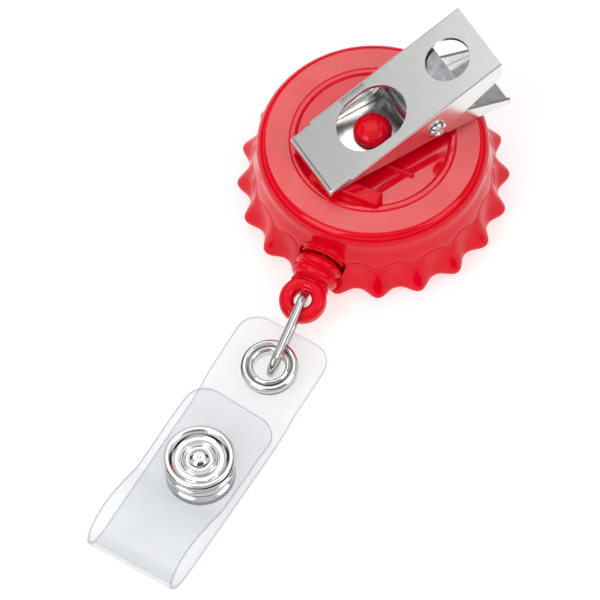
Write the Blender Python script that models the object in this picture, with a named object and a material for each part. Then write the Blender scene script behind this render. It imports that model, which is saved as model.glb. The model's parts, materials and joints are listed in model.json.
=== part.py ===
"""Retractable badge reel with a crown-shaped case, a swivelling bulldog clip and a snap strap.

The reel lies on its front face: +Z points from the front face to the clip side, and the cord
leaves along -Y. The origin is the centre of the front face. Dimensions below are in millimetres;
every mesh is made in metres. Joint axes: spool and clip swivel about Z through the origin, the
clip's upper jaw about its pivot pin, the link about the eye, the strap about the link's end and
its front layer about the fold.
"""

import math

import bmesh
import bpy
from mathutils import Matrix, Vector

MM = 0.001

# Case (radii from the reel's axis, heights above the front face)
TOOTH_COUNT = 20
TOOTH_PHASE = math.radians(9.0)
STEPS_PER_TOOTH = 4
TIP_R = 17.7
VALLEY_R = 16.3
TIP_Z = 2.0
FRONT_FACE_R = 14.0
PARTING_R = 15.4
PARTING_Z = 6.1
PARTING_WAVE = 0.5
PARTING_GAP = 0.12
BACK_Z = 11.8
BACK_FLAT_R = 13.4
RIM_R = 15.0
CAVITY_R = 13.9
FLOOR_Z = 1.3
CEILING_Z = 10.3
RING_R = 10.3
HUB_R = 2.0
HUB_TOP_Z = 9.6
BAR_X, BAR_Y0, BAR_Y1, BAR_TOP_Z = 4.8, -9.1, -7.1, 12.9
RIB_X, RIB_Y, RIB_WIDTH, RIB_TOP_Z = 7.0, -2.7, 0.6, 12.15

# Cord exit
EXIT_Z = 5.4
PORT_R = 3.26
NOZZLE_R = 3.2
NOZZLE_MOUTH_Y = -15.3
NOZZLE_BORE_R = 1.0
CORD_R = 0.4

# Spool, cord winding and power spring
SPOOL_R = 12.5
SPOOL_CORE_R = 8.3
SPRING_ROOM_R = 7.7
SPOOL_LOW_Z = 3.2
SPOOL_HIGH_Z = 7.6
FLANGE = 0.5
WINDING_R0, WINDING_R1 = 8.6, 11.4
SPRING_TURNS = 6.0
SPRING_STRIP = 0.15

# Swivel post
POST_NECK_R = 1.55
POST_HEAD_R = 2.5
POST_HEAD_Z = 13.85
POST_TOP_Z = 15.45

# Clip: s runs along the clip from the jaw tip (negative) to the thumb end, w runs across it
CLIP_AZIMUTH = math.radians(57.7)
CLIP_W = -0.3
TIP_S, THUMB_S = -9.62, 16.02
PLATE_TIP_Z, PLATE_THUMB_Z = 14.40, 23.22
PLATE_SLOPE = (PLATE_THUMB_Z - PLATE_TIP_Z) / (THUMB_S - TIP_S)
PLATE_THICK = 0.45
PLATE_HALF, TIP_HALF = 5.1, 4.8
LOWER_HALF = 4.6
SHEET = 0.4
PIN_S, PIN_Z, PIN_R = 6.3, 16.3, 0.6
PIN_HOLE_R = 0.68
CLIP_SPRING_R = 2.7

# Cord-end fitting: it droops from the nozzle's mouth; lengths run down its own axis
DROOP = math.radians(12.5)
FITTING_RIBS = ((0.52, 1.25, 3.05), (1.77, 1.5, 3.1))
RIB_ROOT_R = 2.3
NECK_L, NECK_HALF, NECK_REACH = 4.0, 2.5, 1.3
EYE_L = 6.04
EYE_HALF_HEIGHT = 1.2
EYE_RING_R = 2.1
EYE_SECTION_R = 0.95

# Wire link: an oval whose axis falls from the eye to the eyelet
LINK_WIRE_R = 0.55
LINK_HALF_WIDTH = 1.85
LINK_TWIST = math.radians(-9.0)
LINK_A = (0.03, -20.6, 4.35)
LINK_B = (0.3, -31.5, 2.1)

# Strap: u runs down the strap from the eyelet, v across it
STRAP_AZIMUTH = math.radians(-95.9)
STRAP_ORIGIN = (-0.26, -30.85)
STRAP_HALF, STRAP_TAPER = 6.45, 0.0095
STRAP_THICK = 0.5
STRAP_CORNER_R = 3.0
EYELET_V = 0.15
EYELET_Z = 2.1
EYELET_TILT = 0.075
EYELET_R, EYELET_HOLE_R = 3.7, 2.02
SNAP_U = 16.4
SNAP_R = 4.55
FOLD_U, FOLD_Z = 31.9, 1.5
BACK_LAYER = [(-5.75, 2.48), (-3.9, 2.4), (0.0, 2.1), (3.9, 1.8), (5.2, 1.45), (6.6, 1.0), (8.2, 0.68),
              (10.0, 0.57), (26.5, 0.57), (28.6, 0.58), (30.0, 0.72), (31.0, 0.98), (31.7, 1.36)]
FRONT_LAYER = [(32.0, 1.7), (32.4, 2.4), (32.7, 3.3), (32.6, 4.3), (32.1, 5.3), (31.2, 6.0),
               (29.8, 6.5), (28.0, 6.55), (26.0, 6.15), (24.0, 5.35), (22.4, 4.6), (21.0, 4.05),
               (19.0, 3.95), (16.4, 3.95), (13.0, 3.94), (11.5, 3.86), (10.0, 3.67), (6.95, 3.25)]

RED = ((0.66, 0.004, 0.012, 1.0), 0.18, 0.0)
SPOOL_WHITE = ((0.80, 0.80, 0.78, 1.0), 0.45, 0.0)
NICKEL = ((0.72, 0.72, 0.71, 1.0), 0.22, 1.0)
SPRING_STEEL = ((0.30, 0.31, 0.33, 1.0), 0.35, 1.0)
CORD_WHITE = ((0.78, 0.77, 0.74, 1.0), 0.75, 0.0)
VINYL = ((0.86, 0.89, 0.93, 0.45), 0.12, 0.0)


def frame_at(x, y, z, azimuth=0.0):
    """A frame at a point in millimetres, its X axis turned to the azimuth."""
    return Matrix.Translation(Vector((x, y, z)) * MM) @ Matrix.Rotation(azimuth, 4, "Z")


WORLD = Matrix.Identity(4)
CLIP = Matrix.Rotation(CLIP_AZIMUTH, 4, "Z")
STRAP = frame_at(STRAP_ORIGIN[0], STRAP_ORIGIN[1], 0.0, STRAP_AZIMUTH)
ALONG_EXIT = Matrix.Rotation(math.radians(90.0), 4, "X")
ACROSS = Matrix.Rotation(math.radians(-90.0), 4, "X")


def clear_objects():
    for obj in list(bpy.data.objects):
        bpy.data.objects.remove(obj, do_unlink=True)


def make_material(name, look):
    colour, roughness, metallic = look
    material = bpy.data.materials.new(name)
    material.use_nodes = True
    shader = material.node_tree.nodes["Principled BSDF"]
    shader.inputs["Base Color"].default_value = colour
    shader.inputs["Roughness"].default_value = roughness
    shader.inputs["Metallic"].default_value = metallic
    shader.inputs["Alpha"].default_value = colour[3]
    return material


def finish(bm, name, look, frame, smooth_deg=35.0):
    """Turn a bmesh in millimetres into a named object in metres, placed by its frame."""
    bmesh.ops.scale(bm, vec=(MM, MM, MM), verts=bm.verts)
    bmesh.ops.transform(bm, matrix=frame, verts=bm.verts)
    bmesh.ops.recalc_face_normals(bm, faces=bm.faces)
    mesh = bpy.data.meshes.new(name)
    bm.to_mesh(mesh)
    bm.free()
    mesh.shade_smooth()
    mesh.set_sharp_from_angle(angle=math.radians(smooth_deg))
    obj = bpy.data.objects.new(name, mesh)
    bpy.context.scene.collection.objects.link(obj)
    if look is None:
        obj.hide_render = True
        obj.display_type = "WIRE"
    else:
        mesh.materials.append(make_material(name, look))
    return obj


def turned(name, outline, look, frame=WORLD, steps=32):
    """Solid of revolution about the frame's Z axis; the outline goes round (radius, height)."""
    bm = bmesh.new()
    verts = [bm.verts.new((radius, 0.0, height)) for radius, height in outline]
    pairs = list(zip(verts, verts[1:]))
    if outline[0][0] > 0.0:
        pairs.append((verts[-1], verts[0]))
    edges = [bm.edges.new(pair) for pair in pairs]
    bmesh.ops.spin(bm, geom=verts + edges, cent=(0, 0, 0), axis=(0, 0, 1),
                   angle=2.0 * math.pi, steps=steps, use_merge=True)
    bmesh.ops.remove_doubles(bm, verts=bm.verts, dist=1e-5)
    return finish(bm, name, look, frame)


def lofted(name, rings, look, frame=WORLD, close=False, smooth_deg=35.0):
    """Skin rings of equal length; capped at both ends, or closed from the last to the first."""
    bm = bmesh.new()
    rows = [[bm.verts.new(point) for point in ring] for ring in rings]
    pairs = list(zip(rows, rows[1:]))
    if close:
        pairs.append((rows[-1], rows[0]))
    for low, high in pairs:
        for i in range(len(low)):
            j = (i + 1) % len(low)
            bm.faces.new((low[i], low[j], high[j], high[i]))
    if not close:
        bm.faces.new(rows[0])
        bm.faces.new(rows[-1])
    return finish(bm, name, look, frame, smooth_deg)


def slab(name, outline, low, high, look, frame=WORLD):
    """Extrude a closed outline of (x, y) from one height to another."""
    rings = [[(x, y, z) for x, y in outline] for z in (low, high)]
    return lofted(name, rings, look, frame)


def box(name, low, high, look, frame=WORLD, bevel=0.0):
    (x0, y0, z0), (x1, y1, z1) = low, high
    obj = slab(name, [(x0, y0), (x1, y0), (x1, y1), (x0, y1)], z0, z1, look, frame)
    if bevel:
        modifier = obj.modifiers.new("edges", "BEVEL")
        modifier.width = bevel * MM
        modifier.segments = 2
    return obj


def boolean(obj, tool, operation):
    modifier = obj.modifiers.new(tool.name, "BOOLEAN")
    modifier.operation = operation
    modifier.object = tool
    modifier.solver = "EXACT"


def cut(obj, tool):
    boolean(obj, tool, "DIFFERENCE")


def join(obj, tool):
    boolean(obj, tool, "UNION")


def rod(name, radius, low, high, look=None, frame=WORLD, steps=32):
    return turned(name, [(0.0, low), (radius, low), (radius, high), (0.0, high)], look, frame, steps)


def pivot(name, x, y, z, azimuth=0.0):
    """An empty on a joint's axis; moving pieces are parented to it."""
    empty = bpy.data.objects.new(name, None)
    empty.empty_display_size = 0.004
    empty.matrix_world = frame_at(x, y, z, azimuth)
    bpy.context.scene.collection.objects.link(empty)
    return empty


def hang(empty, *objects):
    """Parent objects to an empty so that their origins lie on its axis."""
    inverse = empty.matrix_basis.inverted()
    for obj in objects:
        obj.data.transform(inverse)
        obj.parent = empty


def smooth_path(points, count):
    """Points read evenly from a Catmull-Rom curve through the given ones."""
    ends = [2 * points[0] - points[1]] + points + [2 * points[-1] - points[-2]]
    path = []
    for k in range(count):
        place = k * (len(points) - 1) / (count - 1)
        i = min(int(place), len(points) - 2)
        t = place - i
        a, b, c, d = ends[i:i + 4]
        path.append(0.5 * (2 * b + (c - a) * t + (2 * a - 5 * b + 4 * c - d) * t ** 2
                           + (3 * b - a - 3 * c + d) * t ** 3))
    return path


def band_outline(path, thickness):
    """Offset a plane path to both sides and go round the strip that results."""
    left, right = [], []
    for i, point in enumerate(path):
        ahead = path[min(i + 1, len(path) - 1)] - path[max(i - 1, 0)]
        normal = Vector((-ahead.y, ahead.x)).normalized() * thickness / 2
        left.append(point + normal)
        right.append(point - normal)
    return left + right[::-1]


def tube(name, points, radius, look, cyclic=False):
    """A round wire or cord along points in millimetres."""
    curve = bpy.data.curves.new(name, "CURVE")
    curve.dimensions = "3D"
    curve.bevel_depth = radius * MM
    curve.bevel_resolution = 2
    curve.use_fill_caps = True
    spline = curve.splines.new("POLY")
    spline.points.add(len(points) - 1)
    for slot, point in zip(spline.points, points):
        slot.co = (point[0] * MM, point[1] * MM, point[2] * MM, 1.0)
    spline.use_cyclic_u = cyclic
    curve.materials.append(make_material(name, look))
    obj = bpy.data.objects.new(name, curve)
    bpy.context.scene.collection.objects.link(obj)
    return obj


# ---------------------------------------------------------------- case

def tooth_wave(angle):
    """1 on a tooth's crest, 0 in the valley beside it, slightly peaked."""
    return (0.5 + 0.5 * math.cos(TOOTH_COUNT * (angle - TOOTH_PHASE))) ** 1.25


def shell_rings(levels):
    """One ring for each (valley radius, tooth radius, valley height, tooth height)."""
    count = TOOTH_COUNT * STEPS_PER_TOOTH
    rings = []
    for valley_r, tooth_r, valley_z, tooth_z in levels:
        ring = []
        for k in range(count):
            angle = TOOTH_PHASE + 2.0 * math.pi * k / count
            wave = tooth_wave(angle)
            radius = valley_r + (tooth_r - valley_r) * wave
            height = valley_z + (tooth_z - valley_z) * wave
            ring.append((radius * math.cos(angle), radius * math.sin(angle), height))
        rings.append(ring)
    return rings


def plain(radius, height):
    return (radius, radius, height, height)


def nozzle_port(name):
    return rod(name, PORT_R, 12.9, 19.0, None, frame_at(0, 0, EXIT_Z) @ ALONG_EXIT, steps=28)


def make_front_shell():
    low_z, high_z = PARTING_Z - PARTING_WAVE, PARTING_Z + PARTING_WAVE
    levels = [
        plain(FRONT_FACE_R, 0.0),
        plain(FRONT_FACE_R + 0.7, 0.3),
        (VALLEY_R - 0.6, TIP_R - 1.3, 1.0, 0.9),
        (VALLEY_R - 0.1, TIP_R - 0.25, 1.5, 1.4),
        (VALLEY_R, TIP_R, TIP_Z, TIP_Z),
        (VALLEY_R - 0.15, TIP_R - 0.2, 2.7, 2.7),
        (VALLEY_R - 0.5, TIP_R - 1.25, 4.1, 3.9),
        (PARTING_R, PARTING_R + 0.15, high_z, low_z),
        (CAVITY_R + 0.2, CAVITY_R + 0.2, high_z, low_z),
        plain(CAVITY_R, FLOOR_Z),
        plain(HUB_R, FLOOR_Z),
        plain(HUB_R, HUB_TOP_Z),
    ]
    shell = lofted("front_shell", shell_rings(levels), RED, smooth_deg=50.0)
    slot = box("cut_hub_slot", (-2.5, -0.2, 2.1), (0.0, 0.2, 10.0), None)
    cut(shell, nozzle_port("cut_port_front"))
    cut(shell, slot)
    return shell


def make_back_shell():
    low_z = PARTING_Z - PARTING_WAVE + PARTING_GAP
    high_z = PARTING_Z + PARTING_WAVE + PARTING_GAP
    levels = [
        (PARTING_R, PARTING_R + 0.15, high_z, low_z),
        plain(RIM_R, 8.6),
        plain(RIM_R - 0.1, 9.9),
        plain(RIM_R - 0.4, 10.75),
        plain(RIM_R - 1.0, 11.45),
        plain(BACK_FLAT_R + 0.1, BACK_Z - 0.08),
        plain(BACK_FLAT_R, BACK_Z),
        plain(RING_R + 0.3, BACK_Z),
        plain(RING_R, BACK_Z + 0.14),
        plain(RING_R - 0.3, BACK_Z - 0.06),
        plain(POST_NECK_R + 0.12, BACK_Z - 0.06),
        plain(POST_NECK_R + 0.12, CEILING_Z),
        plain(CAVITY_R + 0.2, CEILING_Z),
        (CAVITY_R + 0.2, CAVITY_R + 0.2, high_z, low_z),
    ]
    shell = lofted("back_shell", shell_rings(levels), RED, close=True, smooth_deg=50.0)
    bar = box("join_stop_bar", (-BAR_X, BAR_Y0, 11.0), (BAR_X, BAR_Y1, BAR_TOP_Z), None, bevel=0.35)
    rib = box("join_rib", (-RIB_X, RIB_Y - RIB_WIDTH / 2, 11.0),
              (RIB_X, RIB_Y + RIB_WIDTH / 2, RIB_TOP_Z), None)
    join(shell, bar)
    join(shell, rib)
    cut(shell, nozzle_port("cut_port_back"))
    return shell


def make_cord_nozzle():
    mouth = -NOZZLE_MOUTH_Y
    outline = [
        (NOZZLE_BORE_R, 13.3), (NOZZLE_BORE_R + 0.5, 12.75), (3.55, 12.75), (3.55, 13.15),
        (NOZZLE_R, 13.15), (NOZZLE_R, mouth - 0.6), (NOZZLE_R - 0.12, mouth - 0.42),
        (NOZZLE_R - 0.32, mouth - 0.34), (NOZZLE_R - 0.24, mouth - 0.15), (NOZZLE_R - 0.36, mouth),
        (2.6, mouth), (2.4, mouth - 0.5), (NOZZLE_BORE_R, mouth - 0.6),
    ]
    return turned("cord_nozzle", outline, RED, frame_at(0, 0, EXIT_Z) @ ALONG_EXIT, steps=28)


def make_swivel_post():
    outline = [(0.0, 9.75), (2.5, 9.75), (2.5, 10.15), (POST_NECK_R, 10.15),
               (POST_NECK_R, POST_HEAD_Z), (POST_HEAD_R - 0.15, POST_HEAD_Z)]
    height = POST_TOP_Z - POST_HEAD_Z - 0.15
    for k in range(6):
        angle = math.radians(90.0 * k / 5)
        outline.append((POST_HEAD_R * math.cos(angle), POST_HEAD_Z + 0.15 + height * math.sin(angle)))
    outline[-1] = (0.0, POST_TOP_Z)
    return turned("swivel_post", outline, RED, steps=24)


# ---------------------------------------------------------------- spool and cord

def make_spool():
    low, high = SPOOL_LOW_Z, SPOOL_HIGH_Z
    hole = HUB_R + 0.1
    outline = [
        (hole, high - FLANGE), (SPRING_ROOM_R, high - FLANGE), (SPRING_ROOM_R, FLOOR_Z + 0.15),
        (SPOOL_CORE_R, FLOOR_Z + 0.15), (SPOOL_CORE_R, low), (SPOOL_R, low), (SPOOL_R, low + FLANGE),
        (SPOOL_CORE_R, low + FLANGE), (SPOOL_CORE_R, high - FLANGE), (SPOOL_R, high - FLANGE),
        (SPOOL_R, high), (3.4, high), (3.4, 9.45), (hole, 9.45),
    ]
    return turned("spool", outline, SPOOL_WHITE, steps=30)


def make_cord_winding():
    low, high = SPOOL_LOW_Z + FLANGE + 0.3, SPOOL_HIGH_Z - FLANGE - 0.3
    outline = [(WINDING_R0, low), (WINDING_R1 - 0.3, low), (WINDING_R1, low + 0.3),
               (WINDING_R1, high - 0.3), (WINDING_R1 - 0.3, high), (WINDING_R0, high)]
    return turned("cord_winding", outline, CORD_WHITE, steps=30)


def make_power_spring():
    first, last = HUB_R + 0.35, SPRING_ROOM_R - 0.3
    count = int(SPRING_TURNS * 12)
    path = []
    for k in range(count + 1):
        angle = 2.0 * math.pi * SPRING_TURNS * k / count
        radius = first + (last - first) * k / count
        path.append(Vector((radius * math.cos(angle), radius * math.sin(angle))))
    return slab("power_spring", band_outline(path, SPRING_STRIP), 2.1, 6.8, SPRING_STEEL)


def make_cord_run():
    """From the winding's edge, round the nozzle's mouth, out to the fitting."""
    route = [Vector((x, y, EXIT_Z)) for x, y in (
        (6.75, -9.95), (3.7, -11.5), (1.2, -12.5), (0.15, -13.5), (0.0, -14.2), (0.0, -15.0))]
    route += [Vector(fitting_point(length)) for length in (0.3, 1.2, 2.1)]
    return tube("cord_run", smooth_path(route, 16), CORD_R, CORD_WHITE)


# ---------------------------------------------------------------- cord-end fitting and link

def fitting_point(length):
    """A point on the fitting's drooping axis, measured from the nozzle's mouth."""
    return (0.0, NOZZLE_MOUTH_Y - length * math.cos(DROOP), EXIT_Z - length * math.sin(DROOP))


def fitting_frame(length):
    """A frame on the fitting's axis, its Y axis pointing back up the fitting."""
    return frame_at(*fitting_point(length)) @ Matrix.Rotation(DROOP, 4, "X")


def make_cord_end_fitting():
    """Two ribs on a bored stem, then a flat neck that carries the eye."""
    bore, bottom = 0.75, 2.3
    outline = [(0.0, bottom), (bore, bottom), (bore, 0.1), (2.0, 0.1)]
    for start, width, crest in FITTING_RIBS:
        for k in range(5):
            angle = math.radians(180.0 * (k + 0.5) / 5)
            outline.append((RIB_ROOT_R + (crest - RIB_ROOT_R) * math.sin(angle),
                            start + width * (0.5 - 0.5 * math.cos(angle))))
    end = FITTING_RIBS[-1][0] + FITTING_RIBS[-1][1]
    outline += [(RIB_ROOT_R - 0.4, end + 0.1), (0.0, end + 0.1)]
    fitting = turned("cord_end_fitting", outline, RED, fitting_frame(0.0) @ ALONG_EXIT, steps=20)
    rings = []
    for z, shrink in ((-1.1, 0.3), (-0.8, 0.0), (0.8, 0.0), (1.1, 0.3)):
        rings.append([((NECK_HALF - shrink) * math.cos(angle), (NECK_REACH - shrink) * math.sin(angle), z)
                      for angle in (math.radians(18.0 * k) for k in range(20))])
    join(fitting, lofted("join_neck", rings, None, fitting_frame(NECK_L)))
    section = []
    for k in range(8):
        angle = math.radians(45.0 * k)
        section.append((EYE_RING_R + EYE_SECTION_R * math.cos(angle), EYE_HALF_HEIGHT * math.sin(angle)))
    join(fitting, turned("join_eye", section, None, fitting_frame(EYE_L), steps=20))
    hole = rod("cut_eye", EYE_RING_R - EYE_SECTION_R, -2.0, 2.0, None, fitting_frame(EYE_L), steps=20)
    cut(fitting, hole)
    return fitting


def make_wire_link():
    """Two straight runs joined by half rounds, in an upright plane."""
    near, far = Vector(LINK_A), Vector(LINK_B)
    along = (far - near).normalized()
    across = along.cross(Vector((1, 0, 0))).normalized()
    across = Matrix.Rotation(LINK_TWIST, 3, along) @ (across if across.z > 0 else -across)
    ends = ((near + along * LINK_HALF_WIDTH, -along), (far - along * LINK_HALF_WIDTH, along))
    points = []
    for centre, outward in ends:
        side = across if outward == ends[1][1] else -across
        for k in range(9):
            angle = math.radians(180.0 * k / 8)
            points.append(centre + LINK_HALF_WIDTH * (side * math.cos(angle) + outward * math.sin(angle)))
    return tube("wire_link", points, LINK_WIRE_R, NICKEL, cyclic=True)


# ---------------------------------------------------------------- strap, eyelet, snap

def layer(name, points, count, rounded_end):
    """A strap layer: the band along its side profile, with its outer corners rounded."""
    path = smooth_path([Vector(point) for point in points], count)
    outline = band_outline(path, STRAP_THICK)
    rings = [[(u, side * (STRAP_HALF - STRAP_TAPER * u), z) for u, z in outline] for side in (-1, 1)]
    obj = lofted(name, rings, VINYL, STRAP, smooth_deg=25.0)
    end_u, inward = rounded_end
    half = STRAP_HALF - STRAP_TAPER * end_u
    for side in (-1.0, 1.0):
        corner = (end_u + inward * STRAP_CORNER_R, side * (half - STRAP_CORNER_R))
        shape = [(end_u - inward, side * (half + 1.0))]
        for k in range(7):
            angle = math.radians(90.0 * k / 6)
            shape.append((corner[0] - inward * STRAP_CORNER_R * math.cos(angle),
                          corner[1] + side * STRAP_CORNER_R * math.sin(angle)))
        shape.insert(1, (end_u - inward, shape[1][1]))
        shape.append((shape[-1][0], side * (half + 1.0)))
        cut(obj, slab(f"cut_{name}_{'left' if side < 0 else 'right'}", shape, 0.0, 9.0, None, STRAP))
    return obj


def eyelet_frame():
    return STRAP @ frame_at(0.0, EYELET_V, EYELET_Z) @ Matrix.Rotation(EYELET_TILT, 4, "Y")


def make_strap():
    back = layer("strap_back_layer", BACK_LAYER, 24, (BACK_LAYER[0][0], 1.0))
    front = layer("strap_front_layer", FRONT_LAYER, 28, (FRONT_LAYER[-1][0], 1.0))
    cut(back, rod("cut_eyelet", EYELET_HOLE_R + 0.38, -1.5, 1.5, None, eyelet_frame()))
    snap = STRAP @ frame_at(SNAP_U, 0.0, 0.0)
    cut(back, rod("cut_snap_back", 1.25, 0.1, 1.1, None, snap))
    cut(front, rod("cut_snap_front", 2.05, 3.4, 4.6, None, snap))
    return back, front


def make_eyelet():
    hole = EYELET_HOLE_R
    top = STRAP_THICK / 2
    barrel = [(hole, -0.75), (hole, 0.85), (hole + 0.12, 1.05), (hole + 0.35, 1.1), (hole + 0.58, 0.98),
              (hole + 0.62, 0.78), (hole + 0.3, 0.72), (hole + 0.3, -top - 0.03), (EYELET_R - 0.1, -top - 0.03),
              (EYELET_R - 0.1, -0.5), (EYELET_R - 0.4, -0.62), (hole + 0.3, -0.75)]
    washer = [(hole + 0.4, top + 0.03), (hole + 0.4, 0.62), (hole + 0.75, 0.68), (hole + 1.0, 0.98),
              (3.3, 1.02), (3.62, 0.8), (EYELET_R, 0.5), (EYELET_R, top + 0.03)]
    frame = eyelet_frame()
    return turned("eyelet", barrel, NICKEL, frame, 24), turned("eyelet_washer", washer, NICKEL, frame, 24)


def make_snap():
    frame = STRAP @ frame_at(SNAP_U, 0.0, 0.0)
    cap = [(0.0, 5.0), (0.75, 4.95), (1.25, 4.6), (1.55, 4.42), (2.05, 4.55), (2.2, 4.72),
           (2.5, 4.6), (3.1, 4.42), (3.6, 4.7), (4.1, 5.05), (4.45, 4.95), (SNAP_R, 4.65),
           (SNAP_R - 0.1, 4.38), (4.0, 4.27), (1.95, 4.27), (1.95, 3.45), (1.75, 3.45), (1.75, 4.15), (0.0, 4.15)]
    socket = [(1.8, 3.4), (2.05, 3.2), (2.2, 3.67), (4.1, 3.67), (4.5, 3.45), (4.5, 2.95), (4.15, 2.75),
              (4.15, 2.2), (3.6, 1.75), (1.95, 1.75), (1.8, 1.95), (2.0, 2.3), (1.8, 2.6)]
    stud = [(0.0, 2.7), (1.3, 2.7), (1.62, 2.4), (1.62, 2.15), (1.35, 1.85), (1.35, 1.3), (3.9, 1.3),
            (4.3, 1.1), (4.3, 0.85), (1.2, 0.85), (1.2, 0.95), (0.0, 0.95)]
    base = [(0.0, 0.05), (4.3, 0.05), (4.5, 0.16), (4.45, 0.29), (1.1, 0.29), (1.1, 0.8), (0.0, 0.8)]
    return (turned("snap_cap", cap, NICKEL, frame, 28), turned("snap_socket", socket, NICKEL, frame, 24),
            turned("snap_stud", stud, NICKEL, frame, 24), turned("snap_base", base, NICKEL, frame, 24))


# ---------------------------------------------------------------- clip

def blend_table(table, s):
    """Read a value from (s, value) pairs, straight between them."""
    for (s0, a), (s1, b) in zip(table, table[1:]):
        if s <= s1:
            return a + (b - a) * max(0.0, s - s0) / (s1 - s0)
    return table[-1][1]


def make_lower_jaw():
    """A channel open upwards: web on the reel's side, flanges that rise to the pin."""
    web = [(-9.55, 13.02), (-4.0, 13.2), (0.0, 13.22), (6.0, 12.85), (13.6, 11.95), (17.9, 11.1)]
    flange = [(-9.55, 13.44), (-9.0, 13.5), (-6.0, 13.9), (-2.0, 14.5), (2.5, 15.0), (5.2, 17.2), (6.3, 17.55),
              (7.4, 17.3), (11.3, 15.6), (17.9, 12.35)]
    stations = [-9.55, -9.0, -6.0, -4.0, -2.0, 0.0, 2.5, 5.2, 6.3, 7.4, 9.0, 11.3, 13.6, 16.0, 17.9]
    half, inner, chamfer = LOWER_HALF, LOWER_HALF - SHEET, 0.45
    rings = []
    for s in stations:
        low, top = blend_table(web, s), blend_table(flange, s)
        corner = min(low + SHEET + 0.1, top - 0.01)
        rings.append([(s, w + CLIP_W, z) for w, z in (
            (-half, top), (-half, low + chamfer), (-half + chamfer, low), (half - chamfer, low),
            (half, low + chamfer), (half, top), (inner, top), (inner, corner),
            (inner - 0.3, low + SHEET), (-inner + 0.3, low + SHEET), (-inner, corner),
            (-inner, top))])
    jaw = lofted("clip_lower_jaw", rings, NICKEL, CLIP, smooth_deg=30.0)
    cut(jaw, rod("cut_post_hole", POST_NECK_R + 0.3, 12.0, 15.0, None, WORLD, 28))
    cut(jaw, rod("cut_lower_pin", PIN_HOLE_R, -7.0, 7.0, None, pin_frame(), 20))
    return jaw


def pin_frame():
    return CLIP @ frame_at(PIN_S, CLIP_W, PIN_Z) @ ACROSS


def plate_z(s):
    return PLATE_TIP_Z + PLATE_SLOPE * (s - TIP_S)


def stadium(start, end, radius, arc_steps=10):
    points = []
    for centre, turn in ((end, -90.0), (start, 90.0)):
        for k in range(arc_steps + 1):
            angle = math.radians(turn + 180.0 * k / arc_steps)
            points.append((centre + radius * math.cos(angle), CLIP_W + 0.1 + radius * math.sin(angle)))
    return points


def make_upper_jaw():
    """The pressed plate: lip at the tip, then two side flanges that carry the pin."""
    flange = [(-6.6, 14.9), (-6.2, 14.6), (0.0, 14.3), (5.0, 14.25), (6.3, 14.3), (7.6, 14.9),
              (10.0, 16.5), (15.2, 19.6), (15.9, 20.5), (THUMB_S, 21.6)]
    stations = [TIP_S, -9.25, -9.2, -6.62, -6.6, -6.2, -3.0, 0.0, 3.0, 5.0, 6.3, 7.6, 10.0, 12.6, 15.2,
                15.9, THUMB_S]
    drop = PLATE_THICK / math.cos(math.atan(PLATE_SLOPE))
    rings = []
    for s in stations:
        top = plate_z(s)
        under = top - drop
        half = TIP_HALF if s < -6.61 else PLATE_HALF
        inner, chamfer = half - PLATE_THICK, 0.3
        if s <= -9.25:
            under = PLATE_TIP_Z - 0.88 + 0.05 * (s - TIP_S)
        foot = blend_table(flange, s) if s > -6.61 else under - 0.02
        rings.append([(s, w + CLIP_W, z) for w, z in (
            (-half, foot), (-half, top - chamfer), (-half + chamfer, top), (half - chamfer, top),
            (half, top - chamfer), (half, foot), (inner, foot), (inner, under), (-inner, under),
            (-inner, foot))])
    jaw = lofted("clip_upper_jaw", rings, NICKEL, CLIP, smooth_deg=30.0)
    cut(jaw, slab("cut_window", stadium(-1.1, 0.53, 3.8), 15.0, 23.0, None, CLIP))
    cut(jaw, slab("cut_thumb_hole", stadium(11.19, 11.2, 2.85), 18.0, 26.0, None, CLIP))
    cut(jaw, rod("cut_upper_pin", PIN_HOLE_R, -7.0, 7.0, None, pin_frame(), 20))
    return jaw


def make_pivot_pin():
    reach = PLATE_HALF + 0.08
    head = [(1.2, reach), (1.1, reach + 0.3), (0.7, reach + 0.55), (0.0, reach + 0.62)]
    outline = [(r, -h) for r, h in head[::-1]] + [(PIN_R, -reach), (PIN_R, reach)] + head
    return turned("clip_pivot_pin", outline, NICKEL, pin_frame(), steps=16)


def make_clip_spring():
    """A C of spring steel behind the pin whose arms press the two thumb ends apart."""
    upper_end = Vector((11.0, plate_z(11.0) - 1.05))
    lower_end = Vector((11.0, 12.95))
    path = [lower_end, Vector((8.6, 13.2))]
    for k in range(9):
        angle = math.radians(262.0 - 152.0 * k / 8)
        path.append(Vector((PIN_S + CLIP_SPRING_R * math.cos(angle), PIN_Z + CLIP_SPRING_R * math.sin(angle))))
    path += [Vector((8.2, plate_z(8.2) - 0.95)), upper_end]
    outline = band_outline(path, 0.32)
    rings = [[(s, w + CLIP_W, z) for s, z in outline] for w in (-3.7, 3.7)]
    return lofted("clip_spring", rings, SPRING_STEEL, CLIP)


# ---------------------------------------------------------------- assembly

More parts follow.
